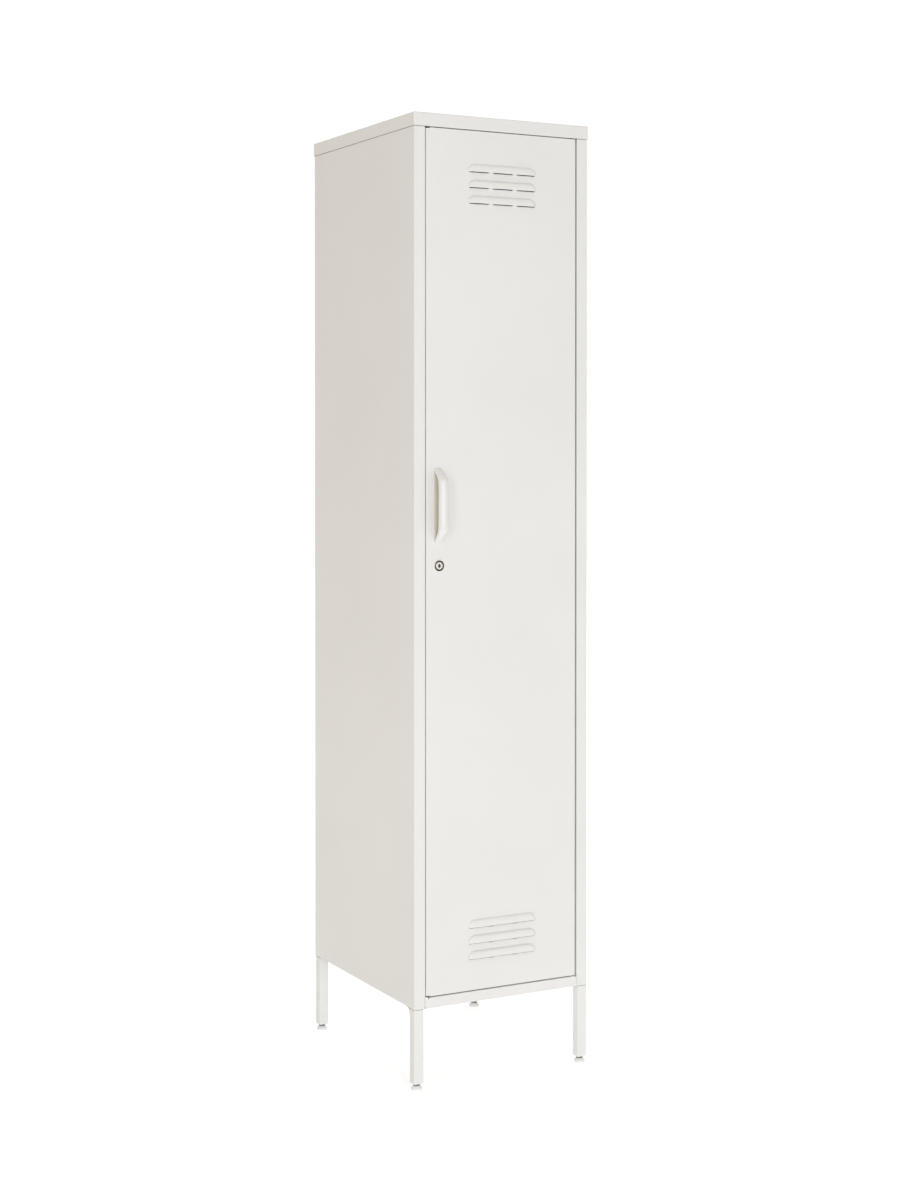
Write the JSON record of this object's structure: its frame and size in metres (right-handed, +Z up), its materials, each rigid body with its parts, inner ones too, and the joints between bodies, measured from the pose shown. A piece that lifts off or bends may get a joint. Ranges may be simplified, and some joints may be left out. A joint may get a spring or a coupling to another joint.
{
  "type": "locker cabinet",
  "caption": "Tall narrow steel locker on slim legs: full-height hinged door with louvres, bow handle and cam lock, and shelves and a coat rail inside.",
  "frame": {"origin": "on the floor, under the middle of the whole locker's box, handle included", "axes": "+Z up; the door faces -Y; +X is towards the door's hinge side"},
  "size_m": [0.381, 0.4866, 1.829],
  "materials": {
    "casing_paint": "satin powder coat, off-white",
    "door_paint": "satin powder coat, off-white",
    "handle_paint": "satin powder coat over a casting, off-white",
    "shelf_paint": "satin powder coat, off-white",
    "leg_paint": "satin powder coat, off-white",
    "lock_chrome": "polished nickel",
    "lock_face": "brushed nickel",
    "rail_chrome": "bright chrome tube",
    "zinc_steel": "zinc-plated steel",
    "spring_steel": "drawn spring wire",
    "white_plastic": "moulded, matt, white",
    "foot_plastic": "moulded nylon, matt, pale grey",
    "black_plastic": "moulded nylon, matt, black",
    "clear_bumper": "soft translucent bumper",
    "plate_plastic": "moulded, matt, warm beige"
  },
  "bodies": {
    "root": {"top_cap": "casing_paint", "left_side_panel": "casing_paint", "right_side_panel": "casing_paint", "back_panel": "casing_paint", "base_panel": "casing_paint", "top_shelf": "shelf_paint", "middle_shelf": "shelf_paint", "lower_shelf": "shelf_paint", "top_shelf_clips": "zinc_steel", "middle_shelf_clips": "zinc_steel", "lower_shelf_clips": "zinc_steel", "coat_rail": "rail_chrome", "rail_brackets": "zinc_steel", "rail_end_caps": "white_plastic", "rail_bracket_screws": "zinc_steel", "front_left_leg": "leg_paint", "front_right_leg": "leg_paint", "rear_left_leg": "leg_paint", "rear_right_leg": "leg_paint", "front_left_leg_plug": "white_plastic", "front_right_leg_plug": "white_plastic", "rear_left_leg_plug": "white_plastic", "rear_right_leg_plug": "white_plastic", "leg_bolts": "zinc_steel", "leg_nuts": "zinc_steel", "back_panel_screws": "zinc_steel", "cap_screws": "zinc_steel", "door_magnets": "black_plastic", "door_bumpers": "clear_bumper", "top_hinge_bush": "black_plastic", "bottom_hinge_pin": "zinc_steel"},
    "door": {"door_panel": "door_paint", "door_stiffener": "door_paint", "handle": "handle_paint", "handle_plate": "plate_plastic", "handle_screws": "zinc_steel", "lock_housing": "lock_chrome", "lock_nut": "zinc_steel", "top_hinge_bracket": "zinc_steel", "top_pin_spring": "spring_steel", "bottom_hinge_bush": "black_plastic"},
    "lock": {"lock_plug": "lock_face", "lock_cam": "zinc_steel", "cam_screw": "zinc_steel"},
    "top_pin": {"top_hinge_pin": "zinc_steel"},
    "front_left_pad": {"front_left_foot_pad": "foot_plastic"},
    "front_left_stud": {"front_left_foot_stud": "zinc_steel"},
    "front_right_pad": {"front_right_foot_pad": "foot_plastic"},
    "front_right_stud": {"front_right_foot_stud": "zinc_steel"},
    "rear_left_pad": {"rear_left_foot_pad": "foot_plastic"},
    "rear_left_stud": {"rear_left_foot_stud": "zinc_steel"},
    "rear_right_pad": {"rear_right_foot_pad": "foot_plastic"},
    "rear_right_stud": {"rear_right_foot_stud": "zinc_steel"}
  },
  "joints": [
    {"name": "door_swing", "type": "hinge", "parent": "root", "child": "door", "pos_m": [0.1563, -0.2083, 0.172], "axis": [0, 0, 1], "range_deg": [0, 110]},
    {"name": "lock_turn", "type": "hinge", "parent": "door", "child": "lock", "pos_m": [-0.1374, -0.2143, 0.982], "axis": [0, 1, 0], "range_deg": [0, 90]},
    {"name": "top_pin_draw", "type": "slide", "parent": "door", "child": "top_pin", "axis": [0, 0, -1], "range_m": [0, 0.01], "stiffness_N_per_m": 900, "springref_m": -0.012, "deforming": ["top_pin_spring"]},
    {"name": "front_left_foot_height", "type": "slide", "parent": "root", "child": "front_left_pad", "axis": [0, 0, -1], "range_m": [0, 0.00625]},
    {"name": "front_left_foot_turn", "type": "hinge", "parent": "front_left_pad", "child": "front_left_stud", "pos_m": [-0.1791, -0.2038, 0], "axis": [0, 0, -1], "range_deg": [0, 1800]},
    {"name": "front_right_foot_height", "type": "slide", "parent": "root", "child": "front_right_pad", "axis": [0, 0, -1], "range_m": [0, 0.00625]},
    {"name": "front_right_foot_turn", "type": "hinge", "parent": "front_right_pad", "child": "front_right_stud", "pos_m": [0.1791, -0.2038, 0], "axis": [0, 0, -1], "range_deg": [0, 1800]},
    {"name": "rear_left_foot_height", "type": "slide", "parent": "root", "child": "rear_left_pad", "axis": [0, 0, -1], "range_m": [0, 0.00625]},
    {"name": "rear_left_foot_turn", "type": "hinge", "parent": "rear_left_pad", "child": "rear_left_stud", "pos_m": [-0.1791, 0.2267, 0], "axis": [0, 0, -1], "range_deg": [0, 1800]},
    {"name": "rear_right_foot_height", "type": "slide", "parent": "root", "child": "rear_right_pad", "axis": [0, 0, -1], "range_m": [0, 0.00625]},
    {"name": "rear_right_foot_turn", "type": "hinge", "parent": "rear_right_pad", "child": "rear_right_stud", "pos_m": [0.1791, 0.2267, 0], "axis": [0, 0, -1], "range_deg": [0, 1800]}
  ],
  "couplings": [
    {"joint": "front_left_foot_turn", "follows": "front_left_foot_height", "rad_per_m": 5026.5},
    {"joint": "front_right_foot_turn", "follows": "front_right_foot_height", "rad_per_m": 5026.5},
    {"joint": "rear_left_foot_turn", "follows": "rear_left_foot_height", "rad_per_m": 5026.5},
    {"joint": "rear_right_foot_turn", "follows": "rear_right_foot_height", "rad_per_m": 5026.5}
  ]
}
